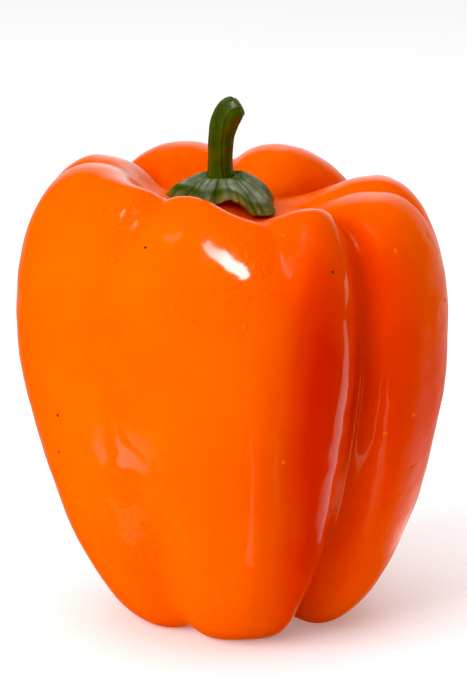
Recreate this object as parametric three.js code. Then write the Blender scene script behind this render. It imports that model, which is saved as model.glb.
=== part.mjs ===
// A blocky sweet pepper standing on its lobes: the fruit, the green calyx that sits in its hollow,
// and the cut stem on top. Millimetres, +Z up, the fruit's front faces -Y.
//
// The fruit is lofted through three rings, one round the feet, one round the belly and one round
// the crest of the shoulders. Each ring swells at a lobe and dips at a furrow, so a short list of
// lobes and furrows, each at its own azimuth, gives the whole body.
// An azimuth is in degrees round the fruit's axis: 0 is the front and +90 is the right-hand side.
import * as THREE from "three";

// ---- The fruit's rings ------------------------------------------------------------------------

const BELLY_HEIGHT = 70.5; // height of the widest section
const CENTRE_LIFT = 8; // how far the middle of the underside arches above the feet
const FEET_PRESSED = 0.5; // each foot is flattened up to this height, where the fruit stands on it

// The humps round the shoulder, and a low saddle at the front.
const CREST_LOBES = [
  { azimuth: -78, spread: 20, radius: 31, height: 102.5, roundness: 0.5 },
  { azimuth: -50, spread: 12, radius: 29.4, height: 101.2, roundness: 0.28 },
  { azimuth: -26, spread: 14, radius: 26.5, height: 100, roundness: 0.24 },
  { azimuth: 3, spread: 12, radius: 29.2, height: 96.9, roundness: 0.2 },
  { azimuth: 32, spread: 10, radius: 32.2, height: 98.8, roundness: 0.3 },
  { azimuth: 66, spread: 10, radius: 34, height: 97.5, roundness: 0.5 },
  { azimuth: 104, spread: 10, radius: 33, height: 98.5, roundness: 0.52 },
  { azimuth: 158, spread: 16, radius: 31, height: 101, roundness: 0.52 },
  { azimuth: 204, spread: 14, radius: 31, height: 101.6, roundness: 0.52 },
  { azimuth: 244, spread: 10, radius: 33, height: 103.3, roundness: 0.5 },
];

const BELLY_LOBES = [
  { azimuth: -85, spread: 24, radius: 47.6 },
  { azimuth: 5, spread: 10, radius: 47.3 },
  { azimuth: 28, spread: 10, radius: 45.5 },
  { azimuth: 68, spread: 12, radius: 48.2 },
  { azimuth: 100, spread: 12, radius: 47.5 },
  { azimuth: 150, spread: 20, radius: 47.5 },
  { azimuth: 207, spread: 16, radius: 47.5 },
  { azimuth: 247, spread: 12, radius: 48 },
];

// The humps pair up into four feet. Fullness is how far down the belly keeps its width.
const FOOT_LOBES = [
  { azimuth: -80, spread: 28, radius: 18, fullness: 0.25 },
  { azimuth: 14, spread: 15, radius: 19.5, fullness: 0.48 },
  { azimuth: 77, spread: 18, radius: 20.5, fullness: 0.44 },
  { azimuth: 170, spread: 30, radius: 20, fullness: 0.48 },
];

// A furrow's azimuth at the crest, belly and foot, its width in degrees, and what it takes off
// each ring: height and radius at the crest, radius at the belly, lift and radius at the foot,
// and fullness of the flank.
const FURROWS = [
  { at: [-36, -36, -29], width: 9, crest: [0.3, 0.3], belly: 0.5, foot: [0.8, 2.5], flank: 0.1 },
  { at: [-32, -32, -32], width: 4.5, crest: [1.4, 0.6], belly: 0, foot: [0, 0], flank: 0 },
  { at: [15, 16, 16], width: 8, crest: [2.2, 0.6], belly: 0.2, foot: [0, 0], flank: 0 },
  { at: [48, 43, 42], width: 7.5, crest: [5, 4], belly: 5.4, foot: [5, 4], flank: 0.22 },
  { at: [87, 84, 84], width: 5, crest: [2, 1.5], belly: 0.4, foot: [0, 0], flank: 0 },
  { at: [129, 122, 118], width: 11, crest: [9, 5], belly: 6, foot: [5, 6], flank: 0.1 },
  { at: [180, 180, 178], width: 9, crest: [4, 3], belly: 0.8, foot: [0, 0], flank: 0 },
  { at: [230, 230, 230], width: 11, crest: [6, 5], belly: 6, foot: [5, 6], flank: 0.1 },
  { at: [264, 262, 262], width: 6, crest: [1.5, 1.5], belly: 0.5, foot: [0, 0], flank: 0 },
];
const FURROW_SOFTNESS = 0.3; // rounds the bottom of each furrow, as a share of its width

// Shallow dents and, where depth is negative, low ridges in the flank.
const DENTS = [
  { azimuth: -27, height: 51, width: 12, tall: 8, depth: 1.3 },
  { azimuth: -28, height: 36, width: 11, tall: 8, depth: -0.6 },
  { azimuth: 6, height: 30, width: 5, tall: 24, depth: -0.9 },
  { azimuth: -23, height: 18, width: 6, tall: 15, depth: 0.7 },
];

// ---- The hollow round the stem ----------------------------------------------------------------

const CORE = { x: -2.5, y: -1 }; // the stem's axis, a little off the fruit's own
const SEAT_RADIUS = 12; // the low boss the calyx lies on
const SEAT_HEIGHT = 93.2;
const SEAT_RISE = 3.2; // the boss is higher in the middle
const SEAT_TILT = 0.08; // and slopes down to the right
const SEAT_DIP = { azimuth: 44, width: 26, depth: 1.1 }; // most of all at the front right

// How strongly each curve of the profile leaves its ring, as a share of the way to the next.
const FOOT_PULL = 0.55;
const BELLY_RISE = 0.62;
const HOLLOW_START = 1.05; // a share of the crest's roundness
const HOLLOW_END = 0.45;

// ---- Calyx and stem ---------------------------------------------------------------------------

const GAP = 0.3; // clearance between two pieces that touch
const CALYX_LOBES = [
  { azimuth: -82, spread: 20, reach: 11.2 },
  { azimuth: -28, spread: 20, reach: 10.2 },
  { azimuth: 58, spread: 22, reach: 12 },
  { azimuth: 112, spread: 18, reach: 11.4 },
  { azimuth: 165, spread: 20, reach: 10.8 },
  { azimuth: 222, spread: 20, reach: 11 },
];
const CALYX_NOTCHES = [-55, 12, 86, 139, 193, 250];
const NOTCH_WIDTH = 9;
const NOTCH_DEPTH = 1.3;
const TIP_LENGTH = 0.9; // the small point at the end of each calyx lobe
const TIP_WIDTH = 6;
const CALYX_EDGE = 0.8; // thickness at the rim
const CALYX_CROWN = 2.5; // how much thicker it is in the middle
const FULL_SIDE = { azimuth: 100, width: 50, height: 1.3 }; // the right side is domed higher
const CROWN_POWER = 4; // a high power keeps the dome full almost to the rim
const PLEAT_DEPTH = 0.45; // the radial groove between two lobes
const RIM_LIFT = 0.6; // the rim stands clear of the flesh
const FRONT_LIFT = { azimuth: 4, width: 24, height: 1.6 }; // and curls up at the front
const COLLAR_HEIGHT = 99.4; // the flat the stem grows from
const COLLAR_RADIUS = 3.3;
const COLLAR_FOOT = 5.4;

const STEM_PATH = [
  [-2.7, -1, COLLAR_HEIGHT + GAP],
  [-2.7, -1, 103.2],
  [-2.5, -1, 107.6],
  [-1.8, -1, 111],
  [-0.5, -0.9, 113.4],
  [1.3, -0.3, 114.4],
];
const STEM_RADII = [2.6, 2.55, 2.7, 3, 3.1, 2.75]; // one for each point of the path
const STEM_RIBS = 5;
const STEM_RIB_HEIGHT = 0.12;
const CUT_HOLLOW = 0.3; // the cut end is dished

// ---- Mesh density -----------------------------------------------------------------------------

const FRUIT_AROUND = 80;
const UNDERSIDE_STATIONS = [0.3, 0.6, 0.87];
const FLANK_STATIONS = [0, 0.045, 0.1, 0.17, 0.25, 0.33, 0.41, 0.5, 0.59, 0.68, 0.78, 0.89];
const SHOULDER_STATIONS = [0, 0.12, 0.24, 0.36, 0.48, 0.6, 0.72, 0.82, 0.91];
const HOLLOW_STATIONS = [0, 0.1, 0.22, 0.35, 0.5, 0.65, 0.82];
const SEAT_STATIONS = [0, 0.25, 0.5, 0.75];
const CALYX_AROUND = 72;
const CALYX_RINGS = 7;
const STEM_AROUND = 20;
const STEM_RINGS = 16;

// ---- Small helpers ----------------------------------------------------------------------------

const radians = THREE.MathUtils.degToRad;
const smoothstep = (low, high, x) => THREE.MathUtils.smoothstep(x, low, high);

// The turn from one azimuth to another, between -180 and 180 degrees.
function turn(from, to) {
  return ((((to - from + 180) % 360) + 360) % 360) - 180;
}

// A value that runs smoothly from each lobe's own number to the next lobe's.
function blendLobes(lobes, key, azimuth) {
  let total = 0;
  let weights = 0;
  for (const lobe of lobes) {
    const away = turn(lobe.azimuth, azimuth) / lobe.spread;
    const weight = Math.exp(-0.5 * away * away) + 1e-6;
    total += weight * lobe[key];
    weights += weight;
  }
  return total / weights;
}

// 1 in the bottom of a furrow, falling to 0 on both sides, with a slightly rounded bottom.
function furrowAt(centre, width, azimuth) {
  const away = turn(centre, azimuth) / width;
  return Math.exp(FURROW_SOFTNESS - Math.hypot(away, FURROW_SOFTNESS));
}

function bell(x) {
  return Math.exp(-0.5 * x * x);
}

function bezier(a, b, c, d, t) {
  const s = 1 - t;
  return s * s * s * a + 3 * s * s * t * b + 3 * s * t * t * c + t * t * t * d;
}

// A closed surface from a first pole, through rings of points listed anticlockwise from above,
// to a last pole. The first pole is underneath, so the faces turn outwards.
function closedSurface(firstPole, rings, lastPole) {
  const around = rings[0].length;
  const positions = [firstPole, ...rings.flat(), lastPole].flat();
  const last = 1 + rings.length * around;
  const faces = [];
  for (let i = 0; i < around; i += 1) {
    const next = (i + 1) % around;
    faces.push(0, 1 + next, 1 + i);
    for (let ring = 0; ring + 1 < rings.length; ring += 1) {
      const low = 1 + ring * around;
      const high = low + around;
      faces.push(low + i, low + next, high + next);
      faces.push(low + i, high + next, high + i);
    }
    faces.push(last, last - around + i, last - around + next);
  }
  const geometry = new THREE.BufferGeometry();
  geometry.setAttribute("position", new THREE.Float32BufferAttribute(positions, 3));
  geometry.setIndex(faces);
  geometry.computeVertexNormals();
  return geometry;
}

function ringAzimuths(count) {
  return Array.from({ length: count }, (_, i) => (i * 360) / count - 180);
}

// ---- Fruit ------------------------------------------------------------------------------------

// The three rings at one azimuth: radius, height and roundness of the crest, radius of the belly,
// radius and height of the foot, and the fullness of the flank between foot and belly.
function ringsAt(azimuth) {
  const rings = {
    crestRadius: blendLobes(CREST_LOBES, "radius", azimuth),
    crestHeight: blendLobes(CREST_LOBES, "height", azimuth),
    roundness: blendLobes(CREST_LOBES, "roundness", azimuth),
    bellyRadius: blendLobes(BELLY_LOBES, "radius", azimuth),
    footRadius: blendLobes(FOOT_LOBES, "radius", azimuth),
    footHeight: 0,
    fullness: blendLobes(FOOT_LOBES, "fullness", azimuth),
  };
  for (const furrow of FURROWS) {
    const atCrest = furrowAt(furrow.at[0], furrow.width, azimuth);
    const atBelly = furrowAt(furrow.at[1], furrow.width, azimuth);
    const atFoot = bell(turn(furrow.at[2], azimuth) / furrow.width);
    rings.crestHeight -= furrow.crest[0] * atCrest;
    rings.crestRadius -= furrow.crest[1] * atCrest;
    rings.bellyRadius -= furrow.belly * atBelly;
    rings.footHeight += furrow.foot[0] * atFoot;
    rings.footRadius -= furrow.foot[1] * atFoot;
    rings.fullness -= furrow.flank * atFoot;
  }
  return rings;
}

// Height of the boss under the calyx at an azimuth and distance from the core's axis.
function seatHeight(azimuth, distance) {
  const x = CORE.x + distance * Math.sin(radians(azimuth));
  const outward = Math.min(distance / SEAT_RADIUS, 1);
  const rise = (SEAT_RISE * (1 + Math.cos(Math.PI * outward))) / 2;
  const dip = SEAT_DIP.depth * bell(turn(SEAT_DIP.azimuth, azimuth) / SEAT_DIP.width);
  return SEAT_HEIGHT - SEAT_TILT * x + rise - dip * outward ** 2;
}

function dentDepth(azimuth, height) {
  let depth = 0;
  for (const dent of DENTS) {
    const across = bell(turn(dent.azimuth, azimuth) / dent.width);
    depth += dent.depth * across * bell((height - dent.height) / dent.tall);
  }
  return depth;
}

// A point at a radius and height, round the fruit's own axis or, as shift goes to 1, the core's.
function pointAt(azimuth, radius, height, shift = 0) {
  const angle = radians(azimuth);
  return [
    radius * Math.sin(angle) + shift * CORE.x,
    -radius * Math.cos(angle) + shift * CORE.y,
    height,
  ];
}

// The feet are pressed flat where the fruit stands on them.
function pressFlat(height) {
  return Math.max(height, FEET_PRESSED);
}

// Between the middle of the underside and the foot.
function undersidePoint(azimuth, t) {
  const { footRadius, footHeight } = ringsAt(azimuth);
  const down = (1 - Math.cos(Math.PI * t)) / 2;
  const height = CENTRE_LIFT + (footHeight - CENTRE_LIFT) * down;
  return pointAt(azimuth, footRadius * t, pressFlat(height));
}

// Between the foot and the belly.
function flankPoint(azimuth, t) {
  const { footRadius, footHeight, bellyRadius, fullness } = ringsAt(azimuth);
  const bulge = footRadius + FOOT_PULL * (bellyRadius - footRadius);
  const waist = BELLY_HEIGHT - fullness * (BELLY_HEIGHT - footHeight);
  const radius = bezier(footRadius, bulge, bellyRadius, bellyRadius, t);
  const height = bezier(footHeight, footHeight, waist, BELLY_HEIGHT, t);
  const dented = radius - dentDepth(azimuth, height) * smoothstep(0, 0.5, t);
  return pointAt(azimuth, dented, pressFlat(height));
}

// Between the belly and the crest.
function shoulderPoint(azimuth, t) {
  const { crestRadius, crestHeight, roundness, bellyRadius } = ringsAt(azimuth);
  const rise = BELLY_HEIGHT + BELLY_RISE * (crestHeight - BELLY_HEIGHT);
  const round = crestRadius + roundness * (bellyRadius - crestRadius);
  const radius = bezier(bellyRadius, bellyRadius, round, crestRadius, t);
  const height = bezier(BELLY_HEIGHT, rise, crestHeight, crestHeight, t);
  const dented = radius - dentDepth(azimuth, height) * (1 - smoothstep(0.5, 1, t));
  return pointAt(azimuth, dented, height);
}

// From the crest down into the hollow, as far as the edge of the boss.
function hollowPoint(azimuth, t) {
  const { crestRadius, crestHeight, roundness } = ringsAt(azimuth);
  const depth = crestRadius - SEAT_RADIUS;
  const edge = seatHeight(azimuth, SEAT_RADIUS);
  const start = crestRadius - HOLLOW_START * roundness * depth;
  const end = SEAT_RADIUS + HOLLOW_END * depth;
  const radius = bezier(crestRadius, start, end, SEAT_RADIUS, t);
  const height = bezier(crestHeight, crestHeight, edge, edge, t);
  return pointAt(azimuth, radius, height, smoothstep(0, 1, t));
}

function seatPoint(azimuth, t) {
  const distance = SEAT_RADIUS * (1 - t);
  return pointAt(azimuth, distance, seatHeight(azimuth, distance), 1);
}

function makeFruit() {
  const azimuths = ringAzimuths(FRUIT_AROUND);
  const ring = (point) => (t) => azimuths.map((azimuth) => point(azimuth, t));
  const rings = [
    ...UNDERSIDE_STATIONS.map(ring(undersidePoint)),
    ...FLANK_STATIONS.map(ring(flankPoint)),
    ...SHOULDER_STATIONS.map(ring(shoulderPoint)),
    ...HOLLOW_STATIONS.map(ring(hollowPoint)),
    ...SEAT_STATIONS.map(ring(seatPoint)),
  ];
  return closedSurface(undersidePoint(0, 0), rings, seatPoint(0, 1));
}

// ---- Calyx ------------------------------------------------------------------------------------

function calyxReach(azimuth) {
  let reach = blendLobes(CALYX_LOBES, "reach", azimuth);
  for (const centre of CALYX_NOTCHES) {
    reach -= NOTCH_DEPTH * furrowAt(centre, NOTCH_WIDTH, azimuth);
  }
  for (const lobe of CALYX_LOBES) {
    reach += TIP_LENGTH * furrowAt(lobe.azimuth, TIP_WIDTH, azimuth);
  }
  return reach;
}

function rimLift(azimuth) {
  const front = bell(turn(FRONT_LIFT.azimuth, azimuth) / FRONT_LIFT.width);
  return RIM_LIFT + FRONT_LIFT.height * front;
}

// The underside follows the boss and curls away from it towards the rim.
function calyxUnder(azimuth, share) {
  const distance = calyxReach(azimuth) * share;
  const height = seatHeight(azimuth, distance) + GAP + rimLift(azimuth) * share ** 3;
  return pointAt(azimuth, distance, height, 1);
}

// The upper side is domed, pleated between the lobes, and rises to a flat collar in the middle.
function calyxTop(azimuth, share) {
  const [x, y, under] = calyxUnder(azimuth, share);
  const distance = calyxReach(azimuth) * share;
  let pleat = 0;
  for (const centre of CALYX_NOTCHES) {
    pleat += PLEAT_DEPTH * furrowAt(centre, NOTCH_WIDTH, azimuth);
  }
  const full = FULL_SIDE.height * bell(turn(FULL_SIDE.azimuth, azimuth) / FULL_SIDE.width);
  const crown = (CALYX_CROWN + full) * (1 - share ** CROWN_POWER);
  const dome = crown - pleat * Math.sin(Math.PI * share);
  const height = under + CALYX_EDGE + dome;
  const outside = smoothstep(COLLAR_RADIUS, COLLAR_FOOT, distance);
  return [x, y, THREE.MathUtils.lerp(COLLAR_HEIGHT, height, outside)];
}

function makeCalyx() {
  const azimuths = ringAzimuths(CALYX_AROUND);
  const shares = Array.from({ length: CALYX_RINGS }, (_, i) => (i + 1) / CALYX_RINGS);
  const underRings = shares.map((share) => azimuths.map((a) => calyxUnder(a, share)));
  const topRings = shares
    .toReversed()
    .map((share) => azimuths.map((a) => calyxTop(a, share)));
  return closedSurface(calyxUnder(0, 0), [...underRings, ...topRings], calyxTop(0, 0));
}

// ---- Stem -------------------------------------------------------------------------------------

// The stem's radius at a share of its length, running smoothly through the listed radii.
function stemRadius(share) {
  const place = share * (STEM_RADII.length - 1);
  const index = Math.min(Math.floor(place), STEM_RADII.length - 2);
  const between = smoothstep(0, 1, place - index);
  return THREE.MathUtils.lerp(STEM_RADII[index], STEM_RADII[index + 1], between);
}

function makeStem() {
  const path = new THREE.CatmullRomCurve3(STEM_PATH.map((p) => new THREE.Vector3(...p)));
  const back = new THREE.Vector3(0, 1, 0);
  const rings = [];
  for (let i = 0; i <= STEM_RINGS; i += 1) {
    const share = i / STEM_RINGS;
    const centre = path.getPoint(share);
    const along = i === 0 ? new THREE.Vector3(0, 0, 1) : path.getTangent(share);
    const right = new THREE.Vector3().crossVectors(back, along).normalize();
    const rear = new THREE.Vector3().crossVectors(along, right);
    const ring = [];
    for (let k = 0; k < STEM_AROUND; k += 1) {
      const angle = (k * 2 * Math.PI) / STEM_AROUND;
      const radius = stemRadius(share) + STEM_RIB_HEIGHT * Math.cos(STEM_RIBS * angle);
      const point = centre
        .clone()
        .addScaledVector(right, radius * Math.cos(angle))
        .addScaledVector(rear, radius * Math.sin(angle));
      ring.push(point.toArray());
    }
    rings.push(ring);
  }
  const cut = path.getPoint(1).addScaledVector(path.getTangent(1), -CUT_HOLLOW);
  return closedSurface(STEM_PATH[0], rings, cut.toArray());
}

// ---- The whole pepper -------------------------------------------------------------------------

function mesh(name, geometry, color, roughness) {
  const material = new THREE.MeshStandardMaterial({ color, roughness, name });
  const made = new THREE.Mesh(geometry, material);
  made.name = name;
  return made;
}

const pepper = new THREE.Group();
pepper.name = "bell_pepper";
pepper.add(mesh("fruit", makeFruit(), 0xf2650a, 0.25));
pepper.add(mesh("calyx", makeCalyx(), 0x4c5a1e, 0.55));
pepper.add(mesh("stem", makeStem(), 0x4a5a20, 0.6));

// Put the origin under the middle of the whole pepper, on the surface it stands on.
const bounds = new THREE.Box3().setFromObject(pepper);
const middle = bounds.getCenter(new THREE.Vector3());
pepper.position.set(-middle.x, -middle.y, -bounds.min.z);

export default pepper;
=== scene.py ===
# %% [markdown]
# # A blocky orange bell pepper
# A bell pepper is one hollow fruit with a waxy skin. It swells into lobes between deep furrows,
# stands on the ends of those lobes, and carries a green calyx and a cut stem in a hollow on top.
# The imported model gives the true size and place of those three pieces. Here each one is grown
# again from nearly the same rings and curves, but finely enough to catch light, and then gets
# skin, leaf and bark that are made of shader nodes.

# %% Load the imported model
import math

import bpy
import numpy as np
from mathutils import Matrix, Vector


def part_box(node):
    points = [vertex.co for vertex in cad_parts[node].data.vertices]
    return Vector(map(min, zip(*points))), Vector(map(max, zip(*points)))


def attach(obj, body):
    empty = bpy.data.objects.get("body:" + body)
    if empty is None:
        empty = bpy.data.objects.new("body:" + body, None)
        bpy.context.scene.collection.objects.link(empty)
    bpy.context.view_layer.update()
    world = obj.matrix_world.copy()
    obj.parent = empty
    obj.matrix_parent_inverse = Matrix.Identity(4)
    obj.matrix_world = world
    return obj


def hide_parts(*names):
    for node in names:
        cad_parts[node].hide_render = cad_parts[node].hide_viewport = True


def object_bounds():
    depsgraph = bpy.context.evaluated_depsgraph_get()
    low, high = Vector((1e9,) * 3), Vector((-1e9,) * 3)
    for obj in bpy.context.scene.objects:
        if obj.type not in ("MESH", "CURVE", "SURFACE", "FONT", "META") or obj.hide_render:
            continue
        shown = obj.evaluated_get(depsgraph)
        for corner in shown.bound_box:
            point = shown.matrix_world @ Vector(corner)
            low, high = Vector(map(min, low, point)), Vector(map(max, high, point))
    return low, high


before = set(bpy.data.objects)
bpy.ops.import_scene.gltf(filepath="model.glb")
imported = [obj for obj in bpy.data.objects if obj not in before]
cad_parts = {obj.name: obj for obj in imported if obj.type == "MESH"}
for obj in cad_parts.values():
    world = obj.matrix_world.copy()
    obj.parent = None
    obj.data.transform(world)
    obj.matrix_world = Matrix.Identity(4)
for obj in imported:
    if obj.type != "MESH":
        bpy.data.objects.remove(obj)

MM = 0.001
cad_low, cad_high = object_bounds()
print("packed model, mm:", [round(1000 * side) for side in cad_high - cad_low])

# %% [markdown]
# ## How the fruit is drawn
# A pepper could be sculpted, or cut as a subdivided cube, but its form has a simple order: every
# upright slice through it is the same kind of curve, and only its size changes round the fruit.
# So it is lofted through three rings, at the feet, the belly and the crest of the shoulders. A
# lobe pushes its ring outwards and upwards, and a furrow pulls it in. An azimuth is in degrees
# round the fruit: 0 is the front and 90 is the right-hand side. All lengths here are millimetres.

# %% Lobes of the three rings
# azimuth, spread, radius, height, roundness
CREST_LOBES = [
    (-78, 20, 31, 102.5, 0.5),
    (-50, 12, 29.4, 101.2, 0.28),
    (-24, 15, 26.7, 100.5, 0.24),
    (8, 10, 29.2, 96.7, 0.2),
    (32, 10, 32.2, 98.8, 0.3),
    (66, 10, 34, 97.5, 0.5),
    (104, 10, 33, 98.5, 0.52),
    (158, 16, 31, 101, 0.52),
    (204, 14, 31, 101.6, 0.52),
    (244, 10, 33, 103.3, 0.5),
]
# azimuth, spread, radius
BELLY_LOBES = [
    (-85, 24, 47.6),
    (5, 10, 47.3),
    (28, 10, 45.5),
    (68, 12, 48.2),
    (100, 12, 47.5),
    (150, 20, 47.5),
    (207, 16, 47.5),
    (247, 12, 48),
]
# azimuth, spread, radius, fullness of the flank above
FOOT_LOBES = [
    (-80, 28, 18, 0.25),
    (14, 15, 19.5, 0.48),
    (77, 18, 20.5, 0.44),
    (170, 30, 20, 0.48),
]
BELLY_HEIGHT = 70.5
CENTRE_LIFT = 8
FEET_PRESSED = 0.5

# %% Furrows between the lobes, and dents in the flank
# azimuth at crest, belly and foot, width, then what it takes off: crest height and radius,
# belly radius, foot lift and radius, flank fullness
FURROWS = [
    ((-36, -36, -29), 9, (0.3, 0.3), 0.5, (0.8, 2.5), 0.1),
    ((-32, -32, -32), 4.5, (1.4, 0.6), 0, (0, 0), 0),
    ((15, 16, 16), 8, (2.2, 0.6), 0.2, (0, 0), 0),
    ((48, 43, 42), 7.5, (5, 4), 5.4, (5, 4), 0.22),
    ((87, 84, 84), 5, (2, 1.5), 0.4, (0, 0), 0),
    ((129, 122, 118), 11, (9, 5), 6, (5, 6), 0.1),
    ((180, 180, 178), 9, (4, 3), 0.8, (0, 0), 0),
    ((230, 230, 230), 11, (6, 5), 6, (5, 6), 0.1),
    ((264, 262, 262), 6, (1.5, 1.5), 0.5, (0, 0), 0),
]
FURROW_SOFTNESS = 0.3
# azimuth, height, width, how tall, depth; a negative depth is a low ridge
DENTS = [
    (-27, 51, 12, 8, 1.3),
    (-28, 36, 11, 8, -0.6),
    (6, 30, 5, 24, -0.9),
    (-23, 18, 6, 15, 0.7),
]


# %% Small curves that every ring is made of
def turn(start, end):
    """The shortest turn from one azimuth to another, in degrees."""
    return (end - start + 180) % 360 - 180


def bell(x):
    return np.exp(-0.5 * x * x)


def smooth(low, high, x):
    """0 below low, 1 above high, and a soft step between."""
    t = np.clip((x - low) / (high - low), 0, 1)
    return t * t * (3 - 2 * t)


def furrow_at(centre, width, azimuth):
    """1 in the bottom of a furrow, falling to 0 on both sides."""
    away = turn(centre, azimuth) / width
    return np.exp(FURROW_SOFTNESS - np.hypot(away, FURROW_SOFTNESS))


def beside(place, azimuth):
    """1 at the azimuth of a place that has a width, falling to 0 on both sides."""
    return bell(turn(place["azimuth"], azimuth) / place["width"])


def blend_lobes(lobes, column, azimuth):
    """A value that runs smoothly from each lobe's own number to the next lobe's."""
    total = 0
    weights = 0
    for lobe in lobes:
        weight = bell(turn(lobe[0], azimuth) / lobe[1]) + 1e-6
        total = total + weight * lobe[column]
        weights = weights + weight
    return total / weights


def bezier(a, b, c, d, t):
    s = 1 - t
    return s * s * s * a + 3 * s * s * t * b + 3 * s * t * t * c + t * t * t * d


# %% The three rings, all the way round
def rings_at(azimuth):
    """The crest, belly and foot at each azimuth: radii, heights, roundness and fullness."""
    crest_radius = blend_lobes(CREST_LOBES, 2, azimuth)
    crest_height = blend_lobes(CREST_LOBES, 3, azimuth)
    roundness = blend_lobes(CREST_LOBES, 4, azimuth)
    belly_radius = blend_lobes(BELLY_LOBES, 2, azimuth)
    foot_radius = blend_lobes(FOOT_LOBES, 2, azimuth)
    fullness = blend_lobes(FOOT_LOBES, 3, azimuth)
    foot_height = np.zeros_like(azimuth)
    for (at_crest, at_belly, at_foot), width, crest, belly, foot, flank in FURROWS:
        on_crest = furrow_at(at_crest, width, azimuth)
        on_foot = bell(turn(at_foot, azimuth) / width)
        crest_height = crest_height - crest[0] * on_crest
        crest_radius = crest_radius - crest[1] * on_crest
        belly_radius = belly_radius - belly * furrow_at(at_belly, width, azimuth)
        foot_height = foot_height + foot[0] * on_foot
        foot_radius = foot_radius - foot[1] * on_foot
        fullness = fullness - flank * on_foot
    crest_ring = (crest_radius, crest_height, roundness)
    return crest_ring, belly_radius, (foot_radius, foot_height, fullness)


# %% Slices, closest together along the furrows
AROUND = 430
FINE_AROUND = 7201
FURROW_CROWDING = 1.6
DEEP_FURROW = 1.9


def crowded_azimuths():
    """Azimuths all the way round, nearly twice as close together where the skin folds in."""
    fine = np.linspace(-180, 180, FINE_AROUND)
    crowding = 1 + 0 * fine
    for (at_crest, _, _), width, crest, _, _, _ in FURROWS:
        if crest[0] > DEEP_FURROW:
            crowding = crowding + FURROW_CROWDING * bell(turn(at_crest, fine) / width)
    share = np.concatenate([[0], np.cumsum((crowding[1:] + crowding[:-1]) / 2)])
    return np.interp(np.arange(AROUND) / AROUND * share[-1], share, fine)


azimuths = crowded_azimuths()[None, :]
crest_heights = rings_at(azimuths)[0][1]
print("crest, mm:", crest_heights.min().round(1), "to", crest_heights.max().round(1))


# %% [markdown]
# ## The upright slice
# Five curves make one slice: under the fruit to the foot, up the flank to the belly, over the
# shoulder to the crest, down into the hollow, and across the low boss that the calyx sits on.
# Bezier curves join with the same direction at each ring, so the skin has no seam. The hollow
# is centred on the stem, which stands a little off the fruit's own axis.

# %% Hollow and boss
CORE = (-2.5, -1)
SEAT_RADIUS = 12
SEAT_HEIGHT = 93.2
SEAT_RISE = 3.2
SEAT_TILT = 0.08
SEAT_DIP = {"azimuth": 44, "width": 26, "depth": 1.1}


def seat_height(azimuth, distance):
    """Height of the boss under the calyx, at an azimuth and distance from the stem's axis."""
    x = CORE[0] + distance * np.sin(np.radians(azimuth))
    outwards = np.minimum(distance / SEAT_RADIUS, 1)
    rise = SEAT_RISE * (1 + np.cos(np.pi * outwards)) / 2
    dip = SEAT_DIP["depth"] * beside(SEAT_DIP, azimuth)
    return SEAT_HEIGHT - SEAT_TILT * x + rise - dip * outwards**2


def points_at(azimuth, radius, height, shift=0):
    """Points round the fruit's axis or, as shift goes to 1, round the stem's."""
    angle = np.radians(azimuth)
    x = radius * np.sin(angle) + shift * CORE[0]
    y = -radius * np.cos(angle) + shift * CORE[1]
    return np.stack(np.broadcast_arrays(x, y, height), axis=-1)


# %% The five curves of a slice
FOOT_PULL = 0.55
BELLY_RISE = 0.62
HOLLOW_START = 1.05
HOLLOW_END = 0.45


def dent_depth(azimuth, height):
    depth = 0
    for centre, middle, width, tall, most in DENTS:
        depth = depth + most * bell(turn(centre, azimuth) / width) * bell((height - middle) / tall)
    return depth


def underside(azimuth, t):
    foot_radius, foot_height, _ = rings_at(azimuth)[2]
    down = (1 - np.cos(np.pi * t)) / 2
    height = CENTRE_LIFT + (foot_height - CENTRE_LIFT) * down
    return points_at(azimuth, foot_radius * t, np.maximum(height, FEET_PRESSED))


def flank(azimuth, t):
    _, belly_radius, (foot_radius, foot_height, fullness) = rings_at(azimuth)
    bulge = foot_radius + FOOT_PULL * (belly_radius - foot_radius)
    waist = BELLY_HEIGHT - fullness * (BELLY_HEIGHT - foot_height)
    radius = bezier(foot_radius, bulge, belly_radius, belly_radius, t)
    height = bezier(foot_height, foot_height, waist, BELLY_HEIGHT, t)
    radius = radius - dent_depth(azimuth, height) * smooth(0, 0.5, t)
    return points_at(azimuth, radius, np.maximum(height, FEET_PRESSED))


def shoulder(azimuth, t):
    (crest_radius, crest_height, roundness), belly_radius, _ = rings_at(azimuth)
    rise = BELLY_HEIGHT + BELLY_RISE * (crest_height - BELLY_HEIGHT)
    bend = crest_radius + roundness * (belly_radius - crest_radius)
    radius = bezier(belly_radius, belly_radius, bend, crest_radius, t)
    height = bezier(BELLY_HEIGHT, rise, crest_height, crest_height, t)
    radius = radius - dent_depth(azimuth, height) * (1 - smooth(0.5, 1, t))
    return points_at(azimuth, radius, height)


def hollow(azimuth, t):
    crest_radius, crest_height, roundness = rings_at(azimuth)[0]
    depth = crest_radius - SEAT_RADIUS
    edge = seat_height(azimuth, SEAT_RADIUS)
    start = crest_radius - HOLLOW_START * roundness * depth
    end = SEAT_RADIUS + HOLLOW_END * depth
    radius = bezier(crest_radius, start, end, SEAT_RADIUS, t)
    height = bezier(crest_height, crest_height, edge, edge, t)
    return points_at(azimuth, radius, height, smooth(0, 1, t))


def boss(azimuth, t):
    distance = SEAT_RADIUS * (1 - t)
    return points_at(azimuth, distance, seat_height(azimuth, distance), 1)


# %% Join the curves into one grid of points
STATIONS = [(underside, 20), (flank, 100), (shoulder, 54), (hollow, 38), (boss, 12)]


def whole_slice(azimuth):
    """Every slice, from under the middle to the middle of the boss, as rows x azimuths x 3."""
    rows = []
    for curve, count in STATIONS:
        t = np.linspace(0, 1, count, endpoint=False)[:, None]
        rows.append(curve(azimuth, t))
    return np.concatenate(rows)[1:]


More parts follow.
